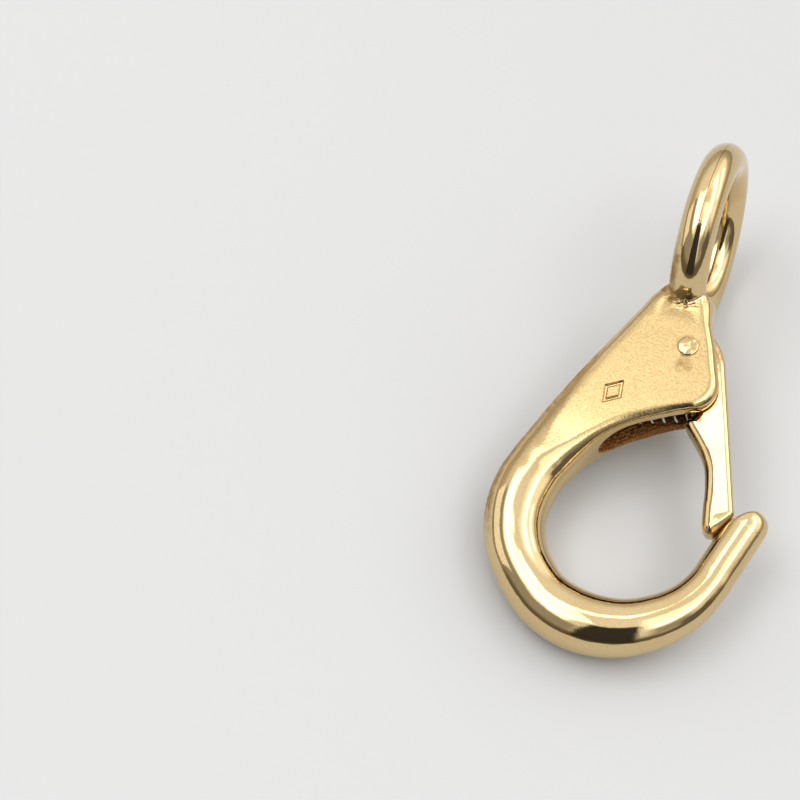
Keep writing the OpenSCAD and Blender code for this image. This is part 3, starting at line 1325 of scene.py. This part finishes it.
@dataclass
class GateLever(Solid):
    """The gate: a flat cast lever with a round hub that turns on the rivet."""

    half: float = 2.45
    hub_radius: float = 4.9
    hub_fillet: float = 0.6
    edge: float = 0.9
    inner_edge: tuple[float, float] = (2.0, 1.6)
    across: Array = spot(0.942, 0.335)
    middle: float = 23.6
    heel: Array = spot(15.0, 25.0)
    seat_angle: float = 58.0
    bore_radius: float = 1.65
    step: float = 0.26

    def __post_init__(self) -> None:
        """Builds the lever and the hub."""
        outline = plan_points(
            (5.6, 56.9), (6.9, 56.1), (7.75, 55.35), (8.5, 54.2), (9.2, 52.75),
            (9.86, 50.75), (11.3, 46.42), (13.0, 41.3), (14.6, 36.47), (15.8, 32.86),
            (16.5, 30.75), (16.9, 29.55), (17.12, 28.85), (17.0, 28.2), (16.5, 27.4),
            (15.6, 25.96), (15.0, 25.0), (14.5, 24.75), (13.85, 24.8), (13.25, 25.3),
            (12.85, 26.2), (12.55, 27.6), (12.25, 29.0), (12.02, 30.5), (11.7, 32.0),
            (11.3, 33.5), (10.8, 35.0), (10.15, 36.25), (9.35, 37.5), (8.4, 38.65),
            (7.4, 39.75), (6.45, 40.75), (5.95, 41.45), (6.05, 42.15), (6.5, 42.9),
            (6.85, 43.7), (6.3, 45.3), (5.5, 47.65), (4.9, 49.0), (3.08, 50.5),
            (3.08, 54.6),
        )
        self.lever = Prism(smooth_loop(outline, 5), -self.half, self.half)
        self.hub = Disc(PIVOT, self.hub_radius, self.half, self.edge)
        self.bore = Disc(PIVOT, self.bore_radius, THROUGH)

    def distance(self, p: Array) -> Array:
        """Distance from the gate's surface."""
        inner = ramp(p[:, :2] @ self.across, self.middle + 1.8, self.middle - 1.2)
        inner *= ramp(p[:, 1], 45, 42)
        wide, high = (self.edge + inner * (to - self.edge) for to in self.inner_edge)
        inward, under = -self.lever.plan(p[:, :2]), self.half - np.abs(p[:, 2])
        inside, side = edge_ellipse(inward, under, wide, high)
        lever = np.where(inside, side, -np.minimum(inward, under))
        out = blend_in(lever, self.hub.distance(p), self.hub_fillet)
        return np.maximum(out, -self.bore.distance(p))

    def build(self, axes: HookAxes) -> bpy.types.Object:
        """Builds the gate's mesh and its masks.

        Args:
            axes: Where the hook lies.

        Returns:
            The piece.
        """
        low, high = np.array([[-3.5, 23.0, -3.6], [19.5, 60.0, 3.7]])
        mesh = SkinMesh.over(Skin(self, low, high, self.step))
        p = mesh.points()
        rim = np.abs(self.lever.plan(p[:, :2]))
        rounding = (rim > 0.02) & (rim < 1.6) & (np.abs(p[:, 2]) > 1.2)
        mesh.refine(rounding & (p[:, 1] < 48))
        p = mesh.points()
        piece = mesh.finish("gate_lever", axes)
        q = p[:, :2]
        lay = np.column_stack([q @ self.across, p[:, 2], q @ -right_of(self.across)])
        end = self._end_face(q)
        stain = np.clip(ramp(apart(p, PIVOT), 7.5, 5.0) * 0.8 + end, 0, 1)
        mark(piece.data, lay, cast=end * 0.75, tarnish=stain)
        return piece

    def _end_face(self, xy: Array) -> Array:
        """1 on the end face that meets the nose, 0 elsewhere."""
        q, way = xy - self.heel, heading(self.seat_angle)
        along, off = q @ way, q @ right_of(way)
        return ramp(off, -0.35, -0.05) * ramp(along, -0.4, 0.1) * ramp(along, 3.9, 3.2)


@dataclass
class Rivet:
    """The rivet: a brass pin whose two ends are peened into low domes."""

    pin_radius: float = 1.6
    head_radius: float = 1.68
    face: float = 4.82
    dome: float = 0.35
    around: int = 96
    dent: float = 0.016

    def _profile(self) -> Array:
        """Works out half of the rivet's outline, from the middle to the top.

        Returns:
            Radius and height of each of its points.
        """
        turn = np.radians(np.arange(6.0, 90.0, 6.0))
        top = (self.head_radius * np.cos(turn), self.face + self.dome * np.sin(turn))
        pin = plan_points(
            (self.pin_radius, 0.0),
            (self.pin_radius, self.face - 0.02),
            (self.head_radius, self.face),
        )
        return np.vstack([pin, np.column_stack(top)])

    def build(self, axes: HookAxes) -> bpy.types.Object:
        """Builds the rivet's mesh and its masks.

        Args:
            axes: Where the hook lies.

        Returns:
            The piece.
        """
        half = self._profile()
        profile = np.vstack([half[:0:-1] * (1, -1), half])
        rings = np.empty((len(profile), self.around, 3))
        rings[..., :2] = PIVOT + profile[:, :1, None] * circle(self.around)
        rings[..., 2] = profile[:, 1:]
        where = rings.reshape(-1, 3)
        peened = np.abs(where[:, 2]) > self.face
        dents = self.dent * Grain(shortest=0.9, longest=2.2, seed=3)(where)
        where[peened, 2] += (dents * np.sign(where[:, 2]))[peened]
        piece = tube("rivet_pin", rings, axes)
        # Painted shade: the edge of the dome is darkened where it meets the face.
        rim = ramp(apart(where, PIVOT), self.head_radius - 0.22, self.head_radius)
        mark(piece.data, where, satin=0.4, tarnish=rim * 0.55)
        return piece


@dataclass
class GateSpring:
    """The spring: a coil of wire between the slot's closed side and the gate."""

    start: tuple[float, float] = (-5.5, 40.85)
    angle: float = 18.8
    seat_gap: float = 0.1
    length: float = 12.4
    coil: float = 4.0
    wire: float = 0.42
    closed_turns: float = 0.75
    open_turns: float = 6.0
    steps: int = 40
    sides: int = 12

    def _heights(self, turns: Array) -> Array:
        """Height of the wire's middle after so many turns."""
        closed = self.closed_turns * self.wire
        low, high = self.wire / 2, self.length - self.wire / 2
        marks = np.cumsum([0, self.closed_turns, self.open_turns, self.closed_turns])
        return np.interp(turns, marks, [low, low + closed, high - closed, high])

    def build(self, axes: HookAxes) -> bpy.types.Object:
        """Builds the spring's mesh.

        Args:
            axes: Where the hook lies.

        Returns:
            The piece.
        """
        turns = self.open_turns + 2 * self.closed_turns
        t = np.arange(round(turns * self.steps) + 1) / self.steps
        spin = 2 * math.pi * t
        out = np.column_stack([np.cos(spin), np.sin(spin), np.zeros(len(t))])
        middle = out * (self.coil - self.wire) / 2
        middle[:, 2] = self._heights(t)
        up = np.cross(unit_rows(np.gradient(middle, axis=0)), out)
        rings = circle(self.sides) @ np.stack([out, up], 1)
        rings = middle[:, None] + self.wire / 2 * rings
        way = heading(self.angle)
        turned = np.array([[*-right_of(way), 0], [0, 0, 1], [*way, 0]])
        base = np.array([*(np.array(self.start) + self.seat_gap * way), 0])
        return tube("gate_spring", base + rings @ turned, axes)

    def ends(self, axes: HookAxes) -> tuple[Vector, Vector]:
        """The two ends of the coil's axis in the frame."""
        reach = self.length + 2 * self.seat_gap
        far = np.array(self.start) + reach * heading(self.angle)
        return axes.point(*self.start, 0), axes.point(*far, 0)


# ---- The studio ----


@dataclass(frozen=True)
class SoftLight:
    """A studio light: a flat glowing panel that faces a point of the hook."""

    name: str
    toward: tuple[float, float, float]
    distance: float
    size: tuple[float, float]
    power: float

    def hang(self, aim: Vector) -> None:
        """Hangs the light.

        Args:
            aim: The point that it faces.
        """
        lamp = bpy.data.lights.new(self.name, "AREA")
        lamp.shape = "RECTANGLE"
        lamp.size, lamp.size_y = self.size
        lamp.energy = self.power
        made = link(self.name, lamp)
        way = Vector(self.toward).normalized()
        made.location = aim + way * self.distance
        made.rotation_euler = way.to_track_quat("Z", "Y").to_euler()


class Tone(Enum):
    """How bright a part of the room is."""

    GLINT = 3.5
    STRIP = 3.6
    LAMP = 2.2
    SCREEN = 1.5
    PALE = 1.15
    WALL = 0.62
    DIM = 0.42
    SHADE = 0.17
    DARK = 0.05
    GROUND = 0.3


@dataclass(frozen=True)
class RoomPart:
    """A part of the room round the hook, in degrees.

    Azimuth 0 is towards -Y and 90 towards +X. Its edges fade over soft on either side.
    """

    azimuth: tuple[float, float]
    elevation: tuple[float, float]
    tone: Tone
    soft: float

    def share(self, azimuth: Sock, elevation: Sock) -> Sock:
        """Tells how far a direction lies in this part.

        Args:
            azimuth: The direction's azimuth.
            elevation: Its elevation.

        Returns:
            1 inside this part and 0 outside it.
        """
        soft, inside = self.soft, []
        pairs = ((azimuth, self.azimuth), (elevation, self.elevation))
        for value, (low, high) in pairs:
            up = value.rise(low - soft, low + soft)
            inside.append(up * (1.0 - value.rise(high - soft, high + soft)))
        return inside[0] * inside[1]


@dataclass(frozen=True)
class Studio:
    """Camera, pale floor, soft lights and the room that the brass mirrors."""

    camera_at: tuple[float, float, float] = (37.853, -49.773, 206.279)
    camera_right: tuple[float, float, float] = (0.912542, 0.355124, -0.202864)
    camera_up: tuple[float, float, float] = (-0.238782, 0.865322, 0.440682)
    focal_pixels: float = 1412.979
    sensor: float = 36.0
    aim: tuple[float, float, float] = (0.0, 0.0, 0.012)
    floor_half: float = 6.0
    floor_dark: tuple = rgb(0.54, 0.54, 0.54)
    floor_light: tuple = rgb(0.57, 0.57, 0.57)

    def camera(self, axes: HookAxes) -> None:
        """Sets up the camera at the photograph's angle.

        Args:
            axes: Where the hook lies.
        """
        data = bpy.data.cameras.new("camera")
        data.sensor_fit = "HORIZONTAL"
        data.sensor_width = self.sensor
        data.lens = self.focal_pixels * self.sensor / PHOTO_PIXELS
        data.clip_start, data.clip_end = 0.005, 20.0
        made = link("camera", data)
        right, up = axes.direction(*self.camera_right), axes.direction(*self.camera_up)
        turn = Matrix((right, up, right.cross(up))).transposed()
        place = Matrix.Translation(axes.point(*self.camera_at))
        made.matrix_world = place @ turn.to_4x4()
        bpy.context.scene.camera = made

    def floor(self) -> None:
        """Lays a plain pale floor."""
        mesh = bpy.data.meshes.new("floor")
        r = self.floor_half
        corners = [(-r, -r, 0), (r, -r, 0), (r, r, 0), (-r, r, 0)]
        mesh.from_pydata(corners, [], [(0, 1, 2, 3)])
        g = Graph.finish("pale_floor")
        colour = g.mix(g.noise(0.4, 2.0), self.floor_dark, self.floor_light)
        look = {"Base Color": colour, "Roughness": 0.9, "Specular IOR Level": 0.2}
        mesh.materials.append(g.close(look))
        link("floor", mesh)

    def lights(self) -> None:
        """Hangs the soft lights."""
        for light in (
            SoftLight("overhead", (-0.408, -0.109, 0.906), 1.0, (0.77, 0.46), 2.0),
            SoftLight("left", (-0.928, -0.098, 0.358), 1.1, (0.70, 0.47), 0.9),
        ):
            light.hang(Vector(self.aim))

    def room(self) -> None:
        """Sets the brightness of the room in every direction."""
        world = bpy.data.worlds.new("room")
        g = Graph(world)
        way = g.out(g.node("ShaderNodeTexCoord", {}, {}), "Generated")
        split = g.node("ShaderNodeSeparateXYZ", {}, {0: way})
        x, y, z = (g.out(split, k) for k in range(3))
        turn = g.node("ShaderNodeMath", {"operation": "ARCTAN2"}, {0: x, 1: y * -1.0})
        lift = g.node("ShaderNodeMath", {"operation": "ARCSINE"}, {0: z})
        azimuth, elevation = (g.out(n) * (180 / math.pi) for n in (turn, lift))
        ground = Tone.GROUND.value
        level = ground + elevation.rise(-12, 46) * (Tone.PALE.value - ground)
        for part in (
            RoomPart((90, 172), (18, 70), Tone.SCREEN, 5.0),
            RoomPart((38, 162), (46, 60), Tone.STRIP, 5.0),
            RoomPart((112, 152), (27, 34), Tone.STRIP, 3.0),
            RoomPart((34, 100), (60, 84), Tone.LAMP, 5.0),
            RoomPart((-116, -30), (46, 64), Tone.LAMP, 4.0),
            RoomPart((40, 68), (18, 40), Tone.DIM, 5.0),
            RoomPart((58, 86), (8, 26), Tone.SHADE, 4.0),
            RoomPart((-104, -14), (6, 46), Tone.DIM, 5.0),
            RoomPart((-165, -104), (0, 20), Tone.WALL, 5.0),
            RoomPart((-66, 92), (-20, 15), Tone.SHADE, 6.0),
            RoomPart((-13, 31), (4, 65), Tone.DARK, 3.0),
            RoomPart((-155, -125), (67.5, 76), Tone.GLINT, 2.5),
        ):
            level = level + part.share(azimuth, elevation) * (part.tone.value - level)
        tint = g.mix(elevation.rise(-10, 35), rgb(1.0, 0.86, 0.66), rgb(1.0, 1.0, 1.0))
        shade = g.node("ShaderNodeBackground", {}, {"Color": tint, "Strength": level})
        g.node("ShaderNodeOutputWorld", {}, {"Surface": g.out(shade)})
        bpy.context.scene.world = world


# ---- Putting it together ----


def dress(
    piece: bpy.types.Object, body: str, node: str, look: bpy.types.Material
) -> None:
    """Gives a piece its finish and its place in the frame.

    Args:
        piece: The finished piece.
        body: The body that it rides on.
        node: The solid that it stands for.
        look: Its finish.
    """
    piece.data.materials.append(look)
    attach(piece, body)
    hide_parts(node)
    LOG.info("%s: %d faces on %s", piece.name, len(piece.data.polygons), body)


def main() -> None:
    """Loads the frame and builds every piece of the hook."""
    logging.basicConfig(level=logging.INFO, format="%(message)s")
    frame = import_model()
    axes = HookAxes.from_frame(frame, np.array([*PIVOT, 0.0]))
    studio = Studio()
    studio.camera(axes)
    studio.floor()
    studio.lights()
    studio.room()
    bpy.context.scene.view_settings.view_transform = "Standard"
    body = HookBody().build(axes)
    dress(body, "hook", "body", PolishedBrass("cast_brass").material())
    gate = GateLever().build(axes)
    brass = PolishedBrass("gate_brass", gloss=0.07)
    dress(gate, "lever", "gate", brass.material())
    pin = Rivet().build(axes)
    dress(pin, "hook", "rivet", PolishedBrass("rivet_brass").material())
    spring = GateSpring()
    coil = spring.build(axes)
    coil.data.materials.append(SpringSteel().material())
    start, end = spring.ends(axes)
    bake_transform(coil)
    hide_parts("spring")
    LOG.info("%s: %d faces", coil.name, len(coil.data.polygons))


if __name__ == "__main__":
    main()
